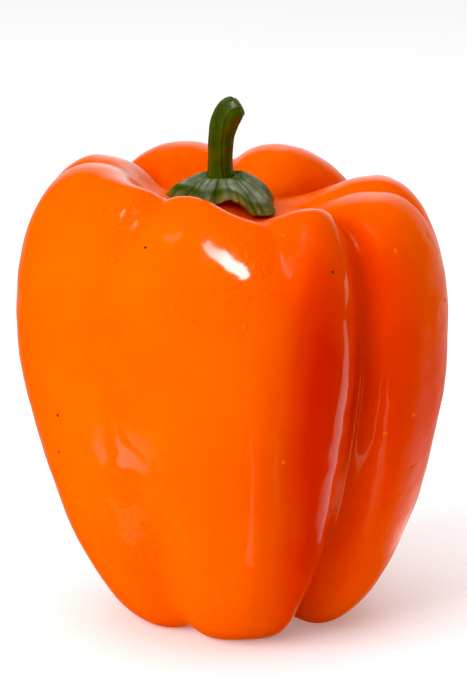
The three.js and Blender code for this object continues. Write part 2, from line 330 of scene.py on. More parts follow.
grid = whole_slice(azimuths)
under_pole = underside(azimuths[:, :1], np.zeros((1, 1)))[0, 0]
boss_pole = boss(azimuths[:, :1], np.ones((1, 1)))[0, 0]
print("fruit grid:", grid.shape[0], "rows of", grid.shape[1])

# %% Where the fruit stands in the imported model
box_low, box_high = (np.array(corner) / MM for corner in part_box("fruit"))
grid_low = grid.min(axis=(0, 1))
grid_high = grid.max(axis=(0, 1))
place = (box_low + box_high) / 2 - (grid_low + grid_high) / 2
place[2] = box_low[2] - grid_low[2]
print("the rings are moved by, mm:", place.round(2))


# %% [markdown]
# ## An uneven skin
# No pepper is as fair as a formula. The flesh under the skin grows at slightly different speeds,
# so the surface rises and falls by a fraction of a millimetre over one or two centimetres. That
# is what makes a reflection wander. A noise texture on a displace modifier could do it, but a sum
# of a few waves in seeded directions gives the same bumps every time and can fade out where the
# fruit touches the ground or the calyx.

# %% Soft ripples in the surface
WAVE_COUNT = 18
WAVE_SPREAD = (0.7, 1.5)


def ripples(points, wavelength, seed):
    """A smooth unevenness of about -1 to 1 at each point."""
    random = np.random.default_rng(seed)
    total = np.zeros(points.shape[:-1])
    for _ in range(WAVE_COUNT):
        direction = random.normal(size=3)
        direction = direction / np.linalg.norm(direction)
        length = wavelength * random.uniform(*WAVE_SPREAD)
        total += np.sin(points @ direction * 2 * np.pi / length + random.uniform(0, 2 * np.pi))
    return total / math.sqrt(2 * WAVE_COUNT)


def outward(points):
    """Unit normals of a grid that closes on itself from its last column to its first."""
    across = np.roll(points, -1, axis=1) - np.roll(points, 1, axis=1)
    up = np.gradient(points, axis=0)
    normal = np.cross(across, up)
    return normal / np.maximum(np.linalg.norm(normal, axis=-1, keepdims=True), 1e-9)


# azimuth at crest and belly, width, depth
CREASES = [
    (48, 43, 2.2, 0.9),
    (53, 48.5, 2.0, -0.4),
    (87, 84, 3, 0.4),
    (129, 122, 2.6, 1.3),
    (180, 180, 3, 0.6),
    (230, 230, 2.6, 1.2),
    (-36, -36, 3, 0.4),
]
SHOULDER_RISE = 30


def crease_depth(azimuth, height):
    """The sharp line in the bottom of a furrow, following the furrow as it leans."""
    down = np.clip((BELLY_HEIGHT + SHOULDER_RISE - height) / SHOULDER_RISE, 0, 1)
    depth = 0
    for at_crest, at_belly, width, most in CREASES:
        centre = at_crest + (at_belly - at_crest) * down
        depth = depth + most * furrow_at(centre, width, azimuth)
    return depth


# %% Lay the ripples and creases on the skin
# depth, wavelength, seed
SWELLS = [(0.32, 26, 4), (0.07, 7, 9)]
GROUND_FADE = (1, 9)
CALYX_FADE = (12, 20)
CREASE_FADE = (20, 70)
heights = grid[..., 2]
clear_of_ground = smooth(*GROUND_FADE, heights)
from_stem = np.hypot(grid[..., 0] - CORE[0], grid[..., 1] - CORE[1])
clear_of_calyx = np.where(heights > BELLY_HEIGHT, smooth(*CALYX_FADE, from_stem), 1)
swell = sum(depth * ripples(grid, wavelength, seed) for depth, wavelength, seed in SWELLS)
crease = crease_depth(azimuths, heights) * smooth(*CREASE_FADE, heights)
uneven = (swell - crease) * clear_of_ground * clear_of_calyx
skin = grid + outward(grid) * uneven[..., None]
print("the skin rises and falls by up to, mm:", round(float(np.abs(swell).max()), 2))

# %% [markdown]
# ## Where the skin changes colour
# A ripe pepper isn't one orange. It is redder in the furrows, which is painted shade, and redder
# on one side and towards the base, which is partly the side that ripened first and partly painted
# shade where the flank turns from the main light. It has a small corky scar underneath where the
# flower was. These places belong to the form, so they are worked out here for every point and
# stored on the mesh, and the skin's shader reads them by name.

# %% Masks for painted furrow shade, blush that is partly painted shade, and scar
# the blush patches are partly real ripening and partly painted shade on the flanks turned from the
# main light
# azimuth, height, width, how tall, strength
BLUSH_AND_SHADE_PATCHES = [
    (50, 54, 24, 24, 0.75),
    (25, 56, 5.5, 18, 1.3),
    (27, 22, 7, 14, 0.6),
    (-150, 40, 30, 30, 0.35),
    (118, 50, 22, 34, 0.4),
]
BLUSH_AND_SHADE_LIMIT = 1.4
SCAR_RADIUS = 3.5
SCAR_CORE = 0.6
# a furrow that cuts this deep into the belly or the crest is fully red with painted shade
FULL_BELLY_CUT = 7.5
FULL_CREST_CUT = 12
REDDENED_WIDTH = 0.8


def patches(places, azimuth, height):
    """Soft patches on the skin, each at its own azimuth and height."""
    total = 0
    for centre, middle, width, tall, strength in places:
        near = bell(turn(centre, azimuth) / width) * bell((height - middle) / tall)
        total = total + strength * near
    return total


def furrow_shade_mask(azimuth, height):
    """Painted shade for the furrows: 1 in the deepest furrows, less in the shallow ones, following
    each as it leans.
    """
    mask = 0
    for (at_crest, at_belly, at_foot), width, crest, belly, _, _ in FURROWS:
        low = np.clip(height / BELLY_HEIGHT, 0, 1)
        high = np.clip((height - BELLY_HEIGHT) / SHOULDER_RISE, 0, 1)
        centre = at_foot + (at_belly - at_foot) * low + (at_crest - at_belly) * high
        strength = max(belly / FULL_BELLY_CUT, crest[0] / FULL_CREST_CUT)
        mask = mask + strength * furrow_at(centre, width * REDDENED_WIDTH, azimuth)
    return np.clip(mask, 0, 1)


# painted shade that reddens the furrows, and a blush that is partly painted shade
in_furrow_shade = furrow_shade_mask(azimuths, heights)
blush_and_shade = np.clip(patches(BLUSH_AND_SHADE_PATCHES, azimuths, heights), 0, BLUSH_AND_SHADE_LIMIT)
under = np.arange(len(grid))[:, None] < STATIONS[0][1]
from_axis = np.hypot(grid[..., 0], grid[..., 1])
scar = under * (1 - smooth(SCAR_RADIUS * SCAR_CORE, SCAR_RADIUS, from_axis))
print("share of the skin that blushes:", round(float((blush_and_shade > 0.3).mean()), 2))

# %% [markdown]
# ## Where the wax is polished
# The wax is thin and slightly dull over most of the fruit. Where the pepper has rubbed against
# its neighbours, on the low ridges, along the furrow walls and on the shoulder, it is polished
# and reflects clearly. That is one more mask, which drives the strength of the clear coat, and a
# second one says where crinkled wax breaks a highlight up.

# %% Masks for the polish, and for wax that is finely crinkled
DULL_WAX = 0.16
CREST_WAX = 0.85
CREST_BAND = (94, 99)
FAINT_CRINKLE = 0.02
# azimuth, height, width, how tall, strength; a negative strength keeps the wax dull
POLISH = [
    (1, 88.5, 6, 4.5, 1.0),
    (22, 91, 8, 7, -0.16),
    (55, 91, 6, 5, -0.16),
    (-41, 96, 4, 3, 0.5),
    (-34, 45.5, 6, 3.6, 0.9),
    (-34, 62, 10, 8, -0.16),
    (-37, 28, 7, 8, 0.35),
    (19, 45, 6, 26, -0.16),
    (6, 40, 3.2, 26, 0.6),
    (38, 80, 5, 16, 0.9),
    (37, 46, 6, 24, 0.9),
    (46, 46, 3, 22, 0.8),
    (62, 50, 9, 34, -0.13),
    (50, 86, 5, 6, -0.3),
    (122, 50, 12, 30, 0.5),
    (208, 70, 14, 22, 0.5),
    (250, 55, 12, 26, 0.5),
    (158, 84, 12, 10, 0.5),
]
# azimuth, height, width, how tall, strength
CRINKLED = [
    (1, 88.5, 5, 4, 1.0),
    (-41, 96, 5, 3, 0.9),
    (-33, 45, 8, 7, 0.8),
    (-34, 28, 8, 8, 0.9),
    (6, 30, 4, 22, 0.3),
    (42, 50, 5, 26, 0.3),
    (212, 62, 10, 10, 0.7),
    (128, 84, 9, 8, 0.6),
]
rubbed = patches(POLISH, azimuths, heights) + CREST_WAX * smooth(*CREST_BAND, heights)
polish = np.clip(DULL_WAX + rubbed, 0, 1)
crinkle = np.clip(FAINT_CRINKLE + patches(CRINKLED, azimuths, heights), 0, 1)
print("polished share:", round(float((polish > 0.6).mean()), 2))


# %% A closed mesh from rings of points
def smooth_piece(name, points, faces):
    """An object with smooth shading, from points in millimetres, standing in the fruit's place."""
    mesh = bpy.data.meshes.new(name)
    mesh.from_pydata(((points + place) * MM).tolist(), [], faces)
    mesh.shade_smooth()
    made = bpy.data.objects.new(name, mesh)
    bpy.context.scene.collection.objects.link(made)
    return made


def closed_mesh(name, first_pole, rows, last_pole):
    """A smooth closed skin through rows of points, from a pole underneath to a pole on top."""
    count, around = rows.shape[:2]
    points = np.concatenate([[first_pole], rows.reshape(-1, 3), [last_pole]])
    index = 1 + np.arange(count * around).reshape(count, around)
    onward = np.roll(index, -1, axis=1)
    quads = np.stack([index[:-1], onward[:-1], onward[1:], index[1:]], axis=-1).reshape(-1, 4)
    last = len(points) - 1
    bottom = [(0, int(b), int(a)) for a, b in zip(index[0], onward[0])]
    top = [(last, int(a), int(b)) for a, b in zip(index[-1], onward[-1])]
    return smooth_piece(name, points, quads.tolist() + bottom + top)


def store_mask(made, name, first, rows, last):
    """Keeps a value for every point of a closed mesh, under a name that a shader can read."""
    values = np.concatenate([[first], np.ravel(rows), [last]]).astype(np.float32)
    attribute = made.data.attributes.new(name, "FLOAT", "POINT")
    attribute.data.foreach_set("value", values)


# %% Make the fruit
pepper_skin = closed_mesh("pepper_skin", under_pole, skin, boss_pole)
# the furrow and blush masks carry painted shade into the skin colour
store_mask(pepper_skin, "furrow_shade", 0, in_furrow_shade, 0)
store_mask(pepper_skin, "blush_and_shade", 0, blush_and_shade, 0)
store_mask(pepper_skin, "scar", 1, scar, 0)
store_mask(pepper_skin, "polish", DULL_WAX, polish, DULL_WAX)
store_mask(pepper_skin, "crinkle", 0, crinkle, 0)
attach(pepper_skin, "root")
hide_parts("fruit")
print("fruit faces:", len(pepper_skin.data.polygons))

# %% [markdown]
# ## Calyx
# The calyx is what is left of the flower: six fleshy sepals grown into a cap. It is domed, its
# upper side is grooved between the sepals and veined along them, its rim is thin and lifts clear
# of the fruit, and in the middle it rises into the collar that the stem grows from. It is made
# as an underside that follows the boss and an upper side that is a dome on top of it, each a set
# of rings about the stem's axis.

# %% Outline of the cap
GAP = 0.3
# azimuth, spread, reach
SEPALS = [
    (-82, 20, 11.2),
    (-28, 20, 10.2),
    (58, 22, 12),
    (112, 18, 11.4),
    (165, 20, 10.8),
    (222, 20, 11),
]
SEPAL_NOTCHES = [-55, -8, 86, 139, 193, 250]
VEINS = [-95, -72, -40, -26, 12, 38, 48, 62, 74, 101, 124, 152, 178, 208, 236]
LIFTED_SEPAL = {"azimuth": 17, "width": 13, "height": 1.9, "cut_back": 1.4}
DROOPING_SEPAL = {"azimuth": 54, "width": 14, "drop": 0.3, "longer": 0.5}
NOTCH_DEPTH = 1.3
NOTCH_WIDTH = 9
POINT_LENGTH = 0.9
POINT_WIDTH = 6
# size, waves round the rim, shift in degrees
RAGGED_RIM = [(0.10, 23, 0), (0.07, 41, 50)]


def calyx_reach(azimuth):
    """How far the rim is from the stem's axis: a small point on each sepal, a notch between."""
    reach = blend_lobes(SEPALS, 2, azimuth)
    for notch in SEPAL_NOTCHES:
        reach = reach - NOTCH_DEPTH * furrow_at(notch, NOTCH_WIDTH, azimuth)
    for sepal in SEPALS:
        reach = reach + POINT_LENGTH * furrow_at(sepal[0], POINT_WIDTH, azimuth)
    front = beside(LIFTED_SEPAL, azimuth)
    droop = beside(DROOPING_SEPAL, azimuth)
    reach = reach - LIFTED_SEPAL["cut_back"] * front + DROOPING_SEPAL["longer"] * droop
    ragged = 0
    for size, waves, shift in RAGGED_RIM:
        ragged = ragged + size * np.sin(np.radians(azimuth * waves + shift))
    return reach + ragged * (1 + front)


# %% Under and upper side of the cap
RIM_THICKNESS = 0.6
RIM_LIFT = 0.6
LIFT_STARTS = (-10, 4)
LIFT_ENDS = (28, 37)
CROWN = 2.8
FULLER_SIDE = {"azimuth": 100, "width": 50, "height": 1.3}
DOME_POWER = 6
COLLAR_HEIGHT = 99.4
COLLAR_EDGE = (3.3, 5.4)
GROOVE_WIDTH = 3.6
GROOVE_DEPTH = 0.6
VEIN_WIDTH = 2.4
VEIN_DEPTH = 0.24
# shares of the way from the stem to the rim
OUT_OF_COLLAR = (0.25, 0.5)
GROOVES_FADE = (0.85, 1)
GROOVES_LOST = 0.6


def rim_lift(azimuth):
    """How far the rim stands off the fruit: most on the lifted sepal, least on the drooping."""
    front = beside(LIFTED_SEPAL, azimuth) * smooth(*LIFT_STARTS, turn(0, azimuth))
    front = front * (1 - smooth(*LIFT_ENDS, turn(0, azimuth)))
    raised = LIFTED_SEPAL["height"] * front
    return RIM_LIFT + raised - DROOPING_SEPAL["drop"] * beside(DROOPING_SEPAL, azimuth)


def calyx_under(azimuth, share):
    distance = calyx_reach(azimuth) * share
    height = seat_height(azimuth, distance) + GAP + rim_lift(azimuth) * share**3
    return points_at(azimuth, distance, height, 1)


def groove_mask(azimuth):
    """1 in the grooves between the sepals, and 1 along their veins."""
    deep = sum(furrow_at(notch, GROOVE_WIDTH, azimuth) for notch in SEPAL_NOTCHES)
    fine = sum(furrow_at(vein, VEIN_WIDTH, azimuth) for vein in VEINS)
    return np.clip(deep, 0, 1), np.clip(fine, 0, 1)


def calyx_top(azimuth, share):
    top = calyx_under(azimuth, share)
    distance = calyx_reach(azimuth) * share
    deep, fine = groove_mask(azimuth)
    along = smooth(*OUT_OF_COLLAR, share) * (1 - GROOVES_LOST * smooth(*GROOVES_FADE, share))
    crown = CROWN + FULLER_SIDE["height"] * beside(FULLER_SIDE, azimuth)
    dome = crown * (1 - share**DOME_POWER) - (GROOVE_DEPTH * deep + VEIN_DEPTH * fine) * along
    raised = top[..., 2] + RIM_THICKNESS + dome
    outside = smooth(*COLLAR_EDGE, distance)
    top[..., 2] = COLLAR_HEIGHT + (raised - COLLAR_HEIGHT) * outside
    return top


# %% Make the calyx
CALYX_AROUND = 480
CALYX_RINGS = 48
RIM_ROUNDING = 0.35
cap_azimuths = np.linspace(-180, 180, CALYX_AROUND, endpoint=False)[None, :]
shares = np.linspace(0, 1, CALYX_RINGS + 1)[1:, None]
under_rows = calyx_under(cap_azimuths, shares)
top_rows = calyx_top(cap_azimuths, shares)[::-1]
rim_row = (under_rows[-1:] + top_rows[:1]) / 2
from_core = rim_row[..., :2] - CORE
rim_row[..., :2] += RIM_ROUNDING * from_core / calyx_reach(cap_azimuths)[..., None]
cap_rows = np.concatenate([under_rows, rim_row, top_rows])
cap_bottom = calyx_under(cap_azimuths[:, :1], np.zeros((1, 1)))[0, 0]
cap_top = calyx_top(cap_azimuths[:, :1], np.zeros((1, 1)))[0, 0]
calyx_cap = closed_mesh("calyx_cap", cap_bottom, cap_rows, cap_top)

# %% Masks for painted groove shade, painted sheen, rim and collar
# painted shade darkens the grooves and the veins
VEIN_SHADE = 0.7
# shares of the way from the stem to the rim
DARK_GROOVES = (0.3, 0.5)
# where a painted sheen lies on the raised parts of the cap
SHEEN_STARTS = (0.36, 0.5)
SHEEN_ENDS = 0.72
SHEEN_FADE = 0.1
WIDER_SHEEN = {"azimuth": 70, "width": 40, "share": 0.12}
DRY_RIM = (0.86, 1)
ring_share = np.concatenate([shares, [[1]], shares[::-1]])
on_top = np.arange(len(cap_rows))[:, None] > len(shares)
deep, fine = groove_mask(cap_azimuths)
groove_shade = (deep + VEIN_SHADE * fine) * smooth(*DARK_GROOVES, ring_share) * on_top
sheen_end = SHEEN_ENDS + WIDER_SHEEN["share"] * beside(WIDER_SHEEN, cap_azimuths)
sheen_left = 1 - smooth(sheen_end, sheen_end + SHEEN_FADE, ring_share)
all_round = 0 * cap_azimuths
store_mask(calyx_cap, "groove_shade", 0, groove_shade, 0)
store_mask(calyx_cap, "painted_sheen", 0, smooth(*SHEEN_STARTS, ring_share) * sheen_left, 0)
store_mask(calyx_cap, "rim", 0, smooth(*DRY_RIM, ring_share) + all_round, 0)
store_mask(calyx_cap, "collar", 1, 1 - smooth(*OUT_OF_COLLAR, ring_share) + all_round, 1)
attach(calyx_cap, "root")
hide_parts("calyx")
print("calyx faces:", len(calyx_cap.data.polygons))

# %% [markdown]
# ## Stem
# The stem is a short stalk that flares out of the calyx, thins, swells again and bends over where
# it met the branch, and ends in the grower's cut. It has about five strong ribs and finer ridges
# between them. A curve with a bevel would give a round tube, so it is made of rings set square to
# a smooth path instead, each ring shaped by the ribs.

# %% Path and thickness of the stem
STEM_PATH = np.array(
    [
        (-2.7, -1, COLLAR_HEIGHT + GAP),
        (-2.7, -1, 103.2),
        (-2.5, -1, 107.6),
        (-1.8, -1, 111),
        (-0.5, -0.9, 113.4),
        (1.3, -0.3, 114.4),
    ]
)
STEM_RADII = np.array([2.6, 2.55, 2.7, 3, 3.1, 2.75])


def along_path(share):
    """A point of the smooth path, which passes through every listed point."""
    ends = (2 * STEM_PATH[0] - STEM_PATH[1], 2 * STEM_PATH[-1] - STEM_PATH[-2])
    knots = np.concatenate([ends[:1], STEM_PATH, ends[1:]])
    position = share * (len(STEM_PATH) - 1)
    start = int(min(position, len(STEM_PATH) - 2))
    t = position - start
    a, b, c, d = knots[start : start + 4]
    bend = (2 * a - 5 * b + 4 * c - d) * t * t + (3 * b - a - 3 * c + d) * t**3
    return 0.5 * (2 * b + (c - a) * t + bend)


def stem_radius(share):
    place_in_list = share * (len(STEM_RADII) - 1)
    start = int(min(place_in_list, len(STEM_RADII) - 2))
    t = smooth(0, 1, place_in_list - start)
    return STEM_RADII[start] + (STEM_RADII[start + 1] - STEM_RADII[start]) * t


# %% Ribs and flare
STEM_AROUND = 144
STEM_TWIST = 0.35
RIBS = 5
RIB_SHARPNESS = 0.7
RIB_LEVEL = 0.6
# size, ridges round the stem, shift
FINE_RIDGES = [(0.35, 13, 1), (0.25, 21, 0)]
RIB_DEPTH = 0.16
RIBS_FADE = (0.6, 0.9)
RIBS_LOST = 0.5
FLARE = 0.35
FLARE_FADE = 16
END_BAND = (0.9, 1)
END_ROUNDING = 0.2
PATH_STEP = 0.01
stem_angles = np.linspace(0, 2 * np.pi, STEM_AROUND, endpoint=False)


def rib_height(angle, share):
    """Five strong ribs with finer ridges between, turning slightly as they climb."""
    twist = angle + STEM_TWIST * share
    strong = np.abs(np.cos(RIBS / 2 * twist)) ** RIB_SHARPNESS - RIB_LEVEL
    fine = sum(size * np.cos(count * twist + shift) for size, count, shift in FINE_RIDGES)
    return strong + fine


def stem_ring(share, inset=0.0, back=0.0):
    """One ring of the stem, drawn in by inset and pushed back along the path."""
    centre = along_path(share)
    ahead = along_path(min(share + PATH_STEP, 1)) - along_path(max(share - PATH_STEP, 0))
    ahead = ahead / np.linalg.norm(ahead)
    right = np.cross((0, 1, 0), ahead)
    right = right / np.linalg.norm(right)
    rear = np.cross(ahead, right)
    flare = FLARE * math.exp(-share * FLARE_FADE)
    ribs_left = 1 - RIBS_LOST * smooth(*RIBS_FADE, share)
    radius = stem_radius(share) + flare + RIB_DEPTH * rib_height(stem_angles, share) * ribs_left
    radius = radius * (1 - inset) * (1 - END_ROUNDING * smooth(*END_BAND, share) ** 2)
    ring = centre - back * ahead + np.outer(np.cos(stem_angles) * radius, right)
    return ring + np.outer(np.sin(stem_angles) * radius, rear)


# %% Make the stem
STEM_ROWS = 110
ROOT_DEPTH = 1.6
# the rings of the cut face: share of the way in, and millimetres back (negative is proud)
CUT_RINGS = ((0.04, -0.22), (0.12, -0.36), (0.2, -0.36), (0.28, -0.22), (0.5, -0.12), (0.8, -0.2))
stalk = np.array([stem_ring(share) for share in np.linspace(0, 1, STEM_ROWS)])
root_ring = stalk[:1] - (0, 0, ROOT_DEPTH)
cut_rows = np.array([stem_ring(1, inset, back) for inset, back in CUT_RINGS])
stem_rows = np.concatenate([root_ring, stalk, cut_rows])
cut_middle = cut_rows[-1].mean(axis=0)
stem_stalk = closed_mesh("stem_stalk", root_ring[0].mean(axis=0), stem_rows, cut_middle)

ridge = np.array([rib_height(stem_angles, share) for share in np.linspace(0, 1, STEM_ROWS)])
ridge = np.concatenate([ridge[:1], ridge, np.repeat(ridge[-1:], len(CUT_RINGS), axis=0)])
cut_mask = np.zeros_like(ridge)
cut_mask[-len(CUT_RINGS) :] = 1
store_mask(stem_stalk, "ridge", 0, ridge, 0)
store_mask(stem_stalk, "cut", 0, cut_mask, 1)
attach(stem_stalk, "root")
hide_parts("stem")
print("stem faces:", len(stem_stalk.data.polygons))

# %% [markdown]
# ## Blisters and specks
# The skin has a few pin-head blisters, and some dry brown specks where an insect or a leaf has
# touched it. They are about a millimetre across, too small for the fruit's own grid, so each is
# a tiny low dome set on the skin at its own azimuth and height. All the blisters are one piece
# and all the specks another.

# %% Where the marks are
# azimuth, height, radius
BLISTERS = [
    (-60, 99, 0.74),
    (-49, 97, 0.81),
    (-37, 88, 0.74),
    (-16, 81, 0.54),
    (-10, 78, 0.47),
    (3, 77.5, 0.68),
    (18, 93.5, 0.68),
    (-62, 78, 0.47),
    (-32, 30.5, 0.81),
    (-19, 27.5, 0.74),
    (-4, 66, 0.47),
    (2, 50, 0.47),
    (14, 47, 0.54),
    (55, 88, 0.61),
    (73, 89, 0.54),
    (72, 75, 0.54),
    (50, 48.5, 0.47),
    (63, 39, 0.61),
    (58, 52, 0.47),
    (60, 33, 0.47),
    (120, 60, 0.61),
    (150, 82, 0.68),
    (196, 40, 0.54),
    (214, 71, 0.68),
    (248, 55, 0.54),
    (-104, 66, 0.54),
]
SPECKS = [
    (31, 86, 0.35),
    (-28, 91.5, 0.32),
    (-57, 52.5, 0.45),
    (-60, 43, 0.4),
    (92, 47, 0.35),
    (163, 58, 0.4),
    (205, 86, 0.35),
    (240, 30, 0.4),
]


# %% Set small domes on the skin
DOME_SIDES = 12
# how far out and how high each ring of a dome is, against its radius and its top
DOME_RINGS = ((0.45, 0.86), (0.8, 0.42), (1.0, 0.0), (1.12, -0.25))
DOME_STRETCH = (0.8, 1.25)
DOME_WOBBLE = (0.94, 1.06)


def nearest_on_skin(azimuth, height):
    """The skin's point and outward direction nearest that azimuth and height on the outside."""
    first = STATIONS[0][1]
    last = first + STATIONS[1][1] + STATIONS[2][1]
    outside = skin[first:last]
    column = int(np.argmin(np.abs(turn(azimuth, azimuths[0]))))
    row = int(np.argmin(np.abs(outside[:, column, 2] - height)))
    return outside[row, column], outward(outside)[row, column]


def dome_mesh(name, marks, proud, seed):
    """One mesh of low, slightly irregular domes."""
    random = np.random.default_rng(seed)
    points = []
    faces = []
    for azimuth, height, radius in marks:
        centre, normal = nearest_on_skin(azimuth, height)
        side = np.cross(normal, (0, 0, 1))
        side = side / np.linalg.norm(side)
        up = np.cross(side, normal)
        stretch = random.uniform(*DOME_STRETCH)
        start = len(points)
        points.append(centre + normal * radius * proud)
        for reach, lift in DOME_RINGS:
            for k in range(DOME_SIDES):
                angle = k * 2 * math.pi / DOME_SIDES
                wobble = reach * radius * random.uniform(*DOME_WOBBLE)
                spread = side * math.cos(angle) * wobble * stretch + up * math.sin(angle) * wobble
                points.append(centre + spread + normal * radius * proud * lift)
        for k in range(DOME_SIDES):
            onward = (k + 1) % DOME_SIDES
            faces.append((start, start + 1 + k, start + 1 + onward))
            for ring in range(len(DOME_RINGS) - 1):
                low = start + 1 + ring * DOME_SIDES
                high = low + DOME_SIDES
                faces.append((low + k, high + k, high + onward, low + onward))
    return smooth_piece(name, np.array(points), faces)


skin_blisters = dome_mesh("skin_blisters", BLISTERS, proud=0.42, seed=3)
brown_specks = dome_mesh("brown_specks", SPECKS, proud=0.3, seed=5)
for marks in (skin_blisters, brown_specks):
    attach(marks, "root")
print("marks:", len(BLISTERS), "blisters and", len(SPECKS), "specks")


# %% [markdown]
# ## Node helpers
# Materials are built from a few kinds of node again and again, so short helpers add them: one
# for any node, one to mix two colours, two for a bit of arithmetic, and one each to stretch a
# value, to make noise and to read a mask from the mesh.

# %% Add, mix and calculate
def fill(tree, socket, value):
    """Links a socket to another node's output, or sets it to a number or a colour."""
    if isinstance(value, bpy.types.NodeSocket):
        tree.links.new(value, socket)
    else:
        socket.default_value = value


def add_node(tree, kind, inputs=None, **settings):
    """A shader node with its settings, and its inputs filled."""
    node = tree.nodes.new("ShaderNode" + kind)
    for name, value in settings.items():
        setattr(node, name, value)
    for name, value in (inputs or {}).items():
        fill(tree, node.inputs[name], value)
    return node


def mixed(tree, factor, first, second):
    """The colour between two colours, by a factor that changes over the surface."""
    return add_node(tree, "Mix", {0: factor, 6: first, 7: second}, data_type="RGBA").outputs[2]


def calculate(tree, operation, first, second, clamp=False):
    inputs = {0: first, 1: second}
    return add_node(tree, "Math", inputs, operation=operation, use_clamp=clamp).outputs[0]


def multiply(tree, first, second):
    return calculate(tree, "MULTIPLY", first, second)


def remap(tree, value, low, high, new_low=0.0, new_high=1.0):
    """Stretches a value from one range to another, and holds it there."""
    ranges = {"From Min": low, "From Max": high, "To Min": new_low, "To Max": new_high}
    return add_node(tree, "MapRange", {"Value": value, **ranges}).outputs[0]


def noise(tree, where, scale, detail, distortion=0.0):
    inputs = {"Vector": where, "Scale": scale, "Detail": detail, "Distortion": distortion}
    return add_node(tree, "TexNoise", inputs).outputs[0]


def mask_named(tree, name):
    return add_node(tree, "Attribute", attribute_name=name).outputs["Fac"]


# %% [markdown]
# ## Two effects that every piece shares
# Plant skin is mottled, with broad soft patches and small pale flecks, and it has a fine relief
# of pores on top of softer waves. Fruit, calyx and stem all show both, at their own sizes, so
# each effect is a node group that is built once and placed in every material.

# %% A group for mottling
FLOAT = "NodeSocketFloat"
VECTOR = "NodeSocketVector"


def new_group(name, inputs, outputs):
    """An empty node group with float or vector inputs and float outputs."""
    group = bpy.data.node_groups.new(name, "ShaderNodeTree")
    for label, kind in inputs:
        group.interface.new_socket(label, in_out="INPUT", socket_type=kind)
    for label in outputs:
        group.interface.new_socket(label, in_out="OUTPUT", socket_type=FLOAT)
    enter = group.nodes.new("NodeGroupInput")
    leave = group.nodes.new("NodeGroupOutput")
    return group, enter.outputs, leave.inputs


def build_mottling():
    sizes = [("Vector", VECTOR), ("Patches", FLOAT), ("Flecks", FLOAT)]
    group, given, result = new_group("plant_mottling", sizes, ["Patch", "Fleck"])
    broad = noise(group, given["Vector"], given["Patches"], 3.0)
    cell_inputs = {"Vector": given["Vector"], "Scale": given["Flecks"]}
    cells = add_node(group, "TexVoronoi", cell_inputs).outputs
    dots = remap(group, cells["Distance"], 0.16, 0.05)
    cell_number = add_node(group, "SeparateColor", {"Color": cells["Color"]}).outputs[0]
    chosen = calculate(group, "GREATER_THAN", cell_number, 0.7)
    fill(group, result["Patch"], remap(group, broad, 0.35, 0.65))
    fill(group, result["Fleck"], multiply(group, dots, chosen))
    return group


plant_mottling = build_mottling()
print("made", plant_mottling.name)


# %% A group for pores and waves
def build_relief():
    sizes = [("Vector", VECTOR), ("Pore Scale", FLOAT)]
    sizes += [("Wave Scale", FLOAT), ("Wave Share", FLOAT)]
    group, given, result = new_group("plant_relief", sizes, ["Height"])
    pores = noise(group, given["Vector"], given["Pore Scale"], 2.0)
    waves = noise(group, given["Vector"], given["Wave Scale"], 1.0)
    tall_waves = multiply(group, waves, given["Wave Share"])
    fill(group, result["Height"], calculate(group, "ADD", pores, tall_waves))
    return group


plant_relief = build_relief()
print("made", plant_relief.name)


# %% Place the groups in a material
def mottling_at(tree, where, patch_scale, fleck_scale):
    inputs = {"Vector": where, "Patches": patch_scale, "Flecks": fleck_scale}
    return add_node(tree, "Group", inputs, node_tree=plant_mottling).outputs


def relief_at(tree, where, pore_scale, wave_scale, wave_share):
    inputs = {"Vector": where, "Pore Scale": pore_scale}
    inputs |= {"Wave Scale": wave_scale, "Wave Share": wave_share}
    return add_node(tree, "Group", inputs, node_tree=plant_relief).outputs["Height"]


def add_bump(tree, shader, height, strength, distance):
    inputs = {"Height": height, "Strength": strength, "Distance": distance}
    fill(tree, shader.inputs["Normal"], add_node(tree, "Bump", inputs).outputs[0])


def new_material(name):
    """A material with only an output and a Principled shader, and coordinates on the piece."""
    material = bpy.data.materials.new(name)
    material.use_nodes = True
    tree = material.node_tree
    tree.nodes.clear()
    shader = add_node(tree, "BsdfPrincipled")
    add_node(tree, "OutputMaterial", {"Surface": shader.outputs[0]})
    where = add_node(tree, "TexCoord").outputs["Object"]
    return material, tree, shader, where


# %% [markdown]
# ## Waxy skin
# Pepper skin is a thin clear wax over coloured flesh. Light goes a few millimetres into the flesh
# and comes out redder, which subsurface scattering gives, and the wax is a clear coat with soft
# highlights, over flesh that hardly shines by itself. The colour runs from a bright orange to a
# red orange and a deep red; in the furrows that red is painted shade, and on the blushed side it
# is partly real blush and partly painted shade. There are paler flecks the size of a pinhead.

# %% Skin colours and shader
RIPE_ORANGE = (0.90, 0.115, 0.0, 1)
WARM_ORANGE = (0.86, 0.085, 0.0, 1)
# red orange and deep red stand for blush and for painted shade
BLUSH_AND_SHADE_RED = (0.74, 0.036, 0.0, 1)
DEEP_BLUSH_AND_SHADE_RED = (0.62, 0.010, 0.0, 1)
PALE_FLECK = (0.93, 0.20, 0.01, 1)
CORK_SCAR = (0.30, 0.16, 0.05, 1)
WARM_PATCHES = 0.6
FLECK_STRENGTH = 0.35
# how strongly the furrows are reddened as painted shade
FURROW_SHADE = 0.45
PATCHY_BLUSH_AND_SHADE = (0.85, 1.15)
FOLD_HEIGHT = 13.0


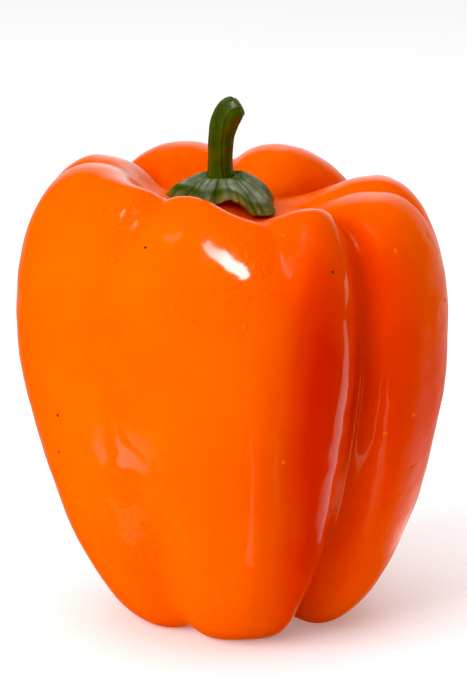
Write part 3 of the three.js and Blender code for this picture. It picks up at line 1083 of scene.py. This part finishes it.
def make_waxy_skin():
    material, tree, shader, where = new_material("waxy_pepper_skin")
    mottling = mottling_at(tree, where, patch_scale=38.0, fleck_scale=420.0)
    colour = mixed(tree, multiply(tree, mottling["Patch"], WARM_PATCHES), RIPE_ORANGE, WARM_ORANGE)
    colour = mixed(tree, multiply(tree, mottling["Fleck"], FLECK_STRENGTH), colour, PALE_FLECK)
    # the furrows, and the flanks turned from the main light, are reddened as painted shade over
    # some real blush
    red_furrow_shade = multiply(tree, mask_named(tree, "furrow_shade"), FURROW_SHADE)
    blush_and_furrow_shade = calculate(tree, "ADD", mask_named(tree, "blush_and_shade"), red_furrow_shade)
    patchy_blush_and_shade = multiply(tree, blush_and_furrow_shade, remap(tree, mottling["Patch"], 0.0, 1.0, *PATCHY_BLUSH_AND_SHADE))
    colour = mixed(tree, remap(tree, patchy_blush_and_shade, 0.0, 0.6), colour, BLUSH_AND_SHADE_RED)
    colour = mixed(tree, remap(tree, patchy_blush_and_shade, 0.6, 1.3), colour, DEEP_BLUSH_AND_SHADE_RED)
    colour = mixed(tree, mask_named(tree, "scar"), colour, CORK_SCAR)
    fill(tree, shader.inputs["Base Color"], colour)

    relief = relief_at(tree, where, pore_scale=1500.0, wave_scale=330.0, wave_share=2.4)
    folds = noise(tree, where, 420.0, 1.5, distortion=1.2)
    folded = multiply(tree, folds, mask_named(tree, "crinkle"))
    height = calculate(tree, "ADD", relief, multiply(tree, folded, FOLD_HEIGHT))
    add_bump(tree, shader, height, strength=0.35, distance=0.00022)
    rough = remap(tree, mottling["Patch"], 0.0, 1.0, 0.3, 0.4)
    fill(tree, shader.inputs["Roughness"], rough)
    fill(tree, shader.inputs["Coat Weight"], mask_named(tree, "polish"))
    shader.inputs["Specular IOR Level"].default_value = 0.07
    shader.inputs["Coat Roughness"].default_value = 0.09
    shader.inputs["Coat IOR"].default_value = 1.42
    shader.inputs["Subsurface Weight"].default_value = 0.3
    shader.inputs["Subsurface Radius"].default_value = (1.0, 0.22, 0.05)
    shader.inputs["Subsurface Scale"].default_value = 0.004
    return material


waxy_skin = make_waxy_skin()
pepper_skin.data.materials.append(waxy_skin)
skin_blisters.data.materials.append(waxy_skin)


# %% Dry brown specks
SPECK_BROWN = (0.05, 0.012, 0.005, 1)
SPECK_EDGE = (0.12, 0.03, 0.008, 1)


def make_dry_speck():
    material, tree, shader, where = new_material("dry_speck")
    mottling = mottling_at(tree, where, patch_scale=900.0, fleck_scale=2500.0)
    colour = mixed(tree, mottling["Patch"], SPECK_BROWN, SPECK_EDGE)
    fill(tree, shader.inputs["Base Color"], colour)
    rough = remap(tree, mottling["Fleck"], 0.0, 1.0, 0.6, 0.8)
    fill(tree, shader.inputs["Roughness"], rough)
    return material


brown_specks.data.materials.append(make_dry_speck())

# %% [markdown]
# ## Calyx leaf
# The calyx is a tough matt green, with a pale grey green on the raised parts that is a painted
# sheen, dark lines in the grooves that are painted shade, a yellower rim and a fresher green
# collar. The masks stored on the cap say where the grooves, the sheen, the rim and the collar are,
# and the mottling breaks up the painted sheen.

# %% Leaf colours and shader
LEAF_GREEN = (0.030, 0.064, 0.008, 1)
# a painted sheen, pale grey green
LEAF_SHEEN = (0.26, 0.30, 0.20, 1)
# painted shade in the grooves
GROOVE_SHADE_GREEN = (0.010, 0.020, 0.005, 1)
LEAF_RIM = (0.15, 0.13, 0.03, 1)
COLLAR_GREEN = (0.024, 0.075, 0.006, 1)


def make_calyx_leaf():
    material, tree, shader, where = new_material("calyx_leaf")
    mottling = mottling_at(tree, where, patch_scale=330.0, fleck_scale=1400.0)
    # the painted sheen, broken up by the mottling
    sheen_breakup = remap(tree, mottling["Patch"], 0.0, 1.0, 0.3, 0.95)
    painted_sheen = multiply(tree, mask_named(tree, "painted_sheen"), sheen_breakup)
    colour = mixed(tree, painted_sheen, LEAF_GREEN, LEAF_SHEEN)
    colour = mixed(tree, mask_named(tree, "collar"), colour, COLLAR_GREEN)
    colour = mixed(tree, mask_named(tree, "rim"), colour, LEAF_RIM)
    # painted shade darkens the grooves and the veins
    dark = calculate(tree, "MULTIPLY", mask_named(tree, "groove_shade"), 0.9, clamp=True)
    colour = mixed(tree, dark, colour, GROOVE_SHADE_GREEN)
    fill(tree, shader.inputs["Base Color"], colour)
    relief = relief_at(tree, where, pore_scale=2600.0, wave_scale=700.0, wave_share=1.4)
    add_bump(tree, shader, relief, strength=0.6, distance=0.00025)
    rough = remap(tree, mottling["Patch"], 0.0, 1.0, 0.42, 0.6)
    fill(tree, shader.inputs["Roughness"], rough)
    shader.inputs["Specular IOR Level"].default_value = 0.4
    return material


calyx_cap.data.materials.append(make_calyx_leaf())

# %% [markdown]
# ## Stem bark
# The stem is a darker green, browner along the tops of its ribs. The cut itself is a pale woody
# colour. The ridge mask lights the ribs, and a noise that is squeezed across and long up the stem
# draws the fine dry streaks.

# %% Bark colours and shader
BARK_GREEN = (0.020, 0.046, 0.009, 1)
BARK_LIGHT = (0.042, 0.080, 0.016, 1)
BARK_BROWN = (0.085, 0.070, 0.020, 1)
CUT_WOOD = (0.38, 0.27, 0.12, 1)


def make_stem_bark():
    material, tree, shader, where = new_material("stem_bark")
    mottling = mottling_at(tree, where, patch_scale=260.0, fleck_scale=1300.0)
    squeezed = {"Vector": where, "Scale": (1.0, 1.0, 0.12)}
    along_stem = add_node(tree, "Mapping", squeezed).outputs[0]
    streaks = noise(tree, along_stem, 1500.0, 3.0)
    colour = mixed(tree, mottling["Patch"], BARK_GREEN, BARK_LIGHT)
    on_ridge = remap(tree, mask_named(tree, "ridge"), 0.25, 0.75, 0.0, 0.8)
    broken = multiply(tree, on_ridge, remap(tree, streaks, 0.4, 0.6, 0.2, 1.0))
    colour = mixed(tree, broken, colour, BARK_BROWN)
    colour = mixed(tree, mask_named(tree, "cut"), colour, CUT_WOOD)
    fill(tree, shader.inputs["Base Color"], colour)
    relief = relief_at(tree, along_stem, pore_scale=2400.0, wave_scale=900.0, wave_share=1.0)
    add_bump(tree, shader, relief, strength=0.5, distance=0.00025)
    fill(tree, shader.inputs["Roughness"], remap(tree, streaks, 0.3, 0.7, 0.24, 0.4))
    shader.inputs["Specular IOR Level"].default_value = 0.4
    return material


stem_stalk.data.materials.append(make_stem_bark())

# %% [markdown]
# ## Floor
# The pepper stands on a plain white sheet that is wide enough to fill every view, and glows a
# little, as the top of a light table does. The floor is part of the studio and not of the pepper.

# %% Lay the floor
FLOOR_HALF = 6.0


def make_floor():
    mesh = bpy.data.meshes.new("white_sheet")
    corners = [(-FLOOR_HALF, -FLOOR_HALF, 0), (FLOOR_HALF, -FLOOR_HALF, 0)]
    corners += [(FLOOR_HALF, FLOOR_HALF, 0), (-FLOOR_HALF, FLOOR_HALF, 0)]
    mesh.from_pydata(corners, [], [(0, 1, 2, 3)])
    floor = bpy.data.objects.new("white_sheet", mesh)
    bpy.context.scene.collection.objects.link(floor)
    material, tree, shader, where = new_material("white_paper")
    tooth = noise(tree, where, 900.0, 2.0)
    fill(tree, shader.inputs["Roughness"], remap(tree, tooth, 0.0, 1.0, 0.7, 0.8))
    shader.inputs["Base Color"].default_value = (0.86, 0.86, 0.86, 1)
    shader.inputs["Specular IOR Level"].default_value = 0.1
    shader.inputs["Emission Color"].default_value = (1, 1, 1, 1)
    shader.inputs["Emission Strength"].default_value = 0.2
    mesh.materials.append(material)
    return floor


floor = make_floor()
floor.location.z = cad_low[2]

# %% [markdown]
# ## Studio light
# A glossy vegetable shows its whole studio in its skin, so the light comes in two kinds. Broad
# soft boxes behind polarising sheets light the flesh and leave no glare: they are made invisible
# to glossy rays, and so is the white sheet that the pepper stands on. Small white cards are seen
# only in the wax, where each one draws a highlight, and narrow strips that lie on the sheet draw
# the long thin ones low on the flanks. The wall behind is white, which makes the edges of the
# fruit glow, and the side of the camera is dark, which keeps its face a full colour.

# %% A white wall behind, a dark room in front
WALL_TO_RIGHT = 0.3
WALL_EDGE = 0.74
WALL_IN_GLOSS = (0.03, 0.9)
WALL_ON_FLESH = (0.30, 0.75)


def light_room():
    world = bpy.data.worlds.new("white_tent")
    world.use_nodes = True
    tree = world.node_tree
    tree.nodes.clear()
    direction = add_node(tree, "TexCoord").outputs["Generated"]
    split = add_node(tree, "SeparateXYZ", {"Vector": direction})
    ray = add_node(tree, "LightPath").outputs
    to_right = multiply(tree, split.outputs["X"], WALL_TO_RIGHT)
    wall = calculate(tree, "ADD", split.outputs["Y"], to_right)
    for_gloss = remap(tree, wall, WALL_EDGE, 1.0, *WALL_IN_GLOSS)
    for_flesh = remap(tree, split.outputs["Y"], 0.0, 0.5, *WALL_ON_FLESH)
    strength = add_node(tree, "Mix", {0: ray["Is Glossy Ray"], 2: for_flesh, 3: for_gloss})
    seen = add_node(tree, "Mix", {0: ray["Is Camera Ray"], 2: strength.outputs[0], 3: 1.0})
    walls = add_node(tree, "Background", {"Color": (1, 1, 1, 1), "Strength": seen.outputs[0]})
    add_node(tree, "OutputWorld", {"Surface": walls.outputs[0]})
    bpy.context.scene.world = world


light_room()
floor.visible_glossy = False


# %% Soft boxes and cards
BODY_MIDDLE = Vector((0, 0, 0.058))


def area_light(name, direction, distance, size, watts, roll=0):
    """A rectangular light that faces the pepper from a direction: its azimuth and elevation."""
    data = bpy.data.lights.new(name, "AREA")
    data.shape = "RECTANGLE"
    data.size, data.size_y = size
    data.energy = watts
    lamp = bpy.data.objects.new(name, data)
    bpy.context.scene.collection.objects.link(lamp)
    azimuth, elevation = (math.radians(angle) for angle in direction)
    away = Vector((math.sin(azimuth), -math.cos(azimuth), 0)) * math.cos(elevation)
    away.z = math.sin(elevation)
    lamp.location = BODY_MIDDLE + away * distance
    lamp.rotation_euler = away.to_track_quat("Z", "Y").to_euler()
    lamp.rotation_euler.rotate_axis("Z", math.radians(roll))
    lamp.visible_camera = False
    return lamp


def soft_box(name, direction, distance, size, watts):
    area_light(name, direction, distance, size, watts).visible_glossy = False


def card(name, direction, distance, size, watts, roll=0):
    lamp = area_light(name, direction, distance, size, watts, roll=roll)
    lamp.visible_diffuse = False
    lamp.visible_transmission = False
    return lamp


soft_box("left_soft_box", (-50, 28), 1.2, (0.9, 0.9), 14)
soft_box("right_soft_box", (75, 5), 1.2, (0.6, 0.6), 0.8)
soft_box("top_soft_box", (0, 88), 1.2, (1.2, 1.2), 9)
card("shoulder_card", (22, 64), 1.0, (0.12, 0.46), 5, roll=12)
card("right_rear_card", (114, 1), 0.8, (0.25, 0.12), 0.12)
card("left_high_card", (-75, 70), 1.0, (0.12, 0.12), 0.3)


# %% Bright strips on the sheet, seen low in the wax
STRIP_HEIGHT = 0.002


def strip(name, middle, size, watts, roll=0):
    """A strip of light that lies on the floor and faces up."""
    lamp = card(name, (0, 90), 0.0, size, watts)
    lamp.location = (*middle, STRIP_HEIGHT)
    lamp.rotation_euler = (math.pi, 0, math.radians(roll))


strip("left_strip", (-0.102, -0.062), (0.03, 0.022), 0.004)
strip("front_strip", (0.022, -0.14), (0.007, 0.18), 0.005, roll=10)
strip("near_left_strip", (-0.05, -0.038), (0.03, 0.008), 0.0007)
strip("front_right_strip", (0.075, -0.091), (0.014, 0.115), 0.009, roll=35)
strip("right_strip", (0.3075, 0.058), (0.525, 0.07), 0.15, roll=12)

# %% [markdown]
# ## Camera
# A long lens, used from a distance, keeps the near side of a small thing from bulging.
# The camera stands a little above the pepper and looks down by about fifteen degrees.

# %% Set up the camera
CAMERA_ELEVATION = math.radians(15)
CAMERA_DISTANCE = 0.9
CAMERA_AIM = Vector((0.0003, 0, 0.0595))
LENS = 211
SENSOR_WIDTH = 36
camera_data = bpy.data.cameras.new("product_camera")
camera_data.lens = LENS
camera_data.sensor_width = SENSOR_WIDTH
camera = bpy.data.objects.new("product_camera", camera_data)
bpy.context.scene.collection.objects.link(camera)
back = Vector((0, -math.cos(CAMERA_ELEVATION), math.sin(CAMERA_ELEVATION)))
camera.location = CAMERA_AIM + back * CAMERA_DISTANCE
camera.rotation_euler = back.to_track_quat("Z", "Y").to_euler()
bpy.context.scene.camera = camera

# %% [markdown]
# ## Colour
# A strong orange loses its strength in a filmic tone curve, so the standard one is kept.

# %% Keep the orange strong
view = bpy.context.scene.view_settings
view.view_transform = "Standard"
view.look = "None"
view.use_curve_mapping = True
view.curve_mapping.black_level = (0.002, 0.004, 0.02)
view.curve_mapping.update()
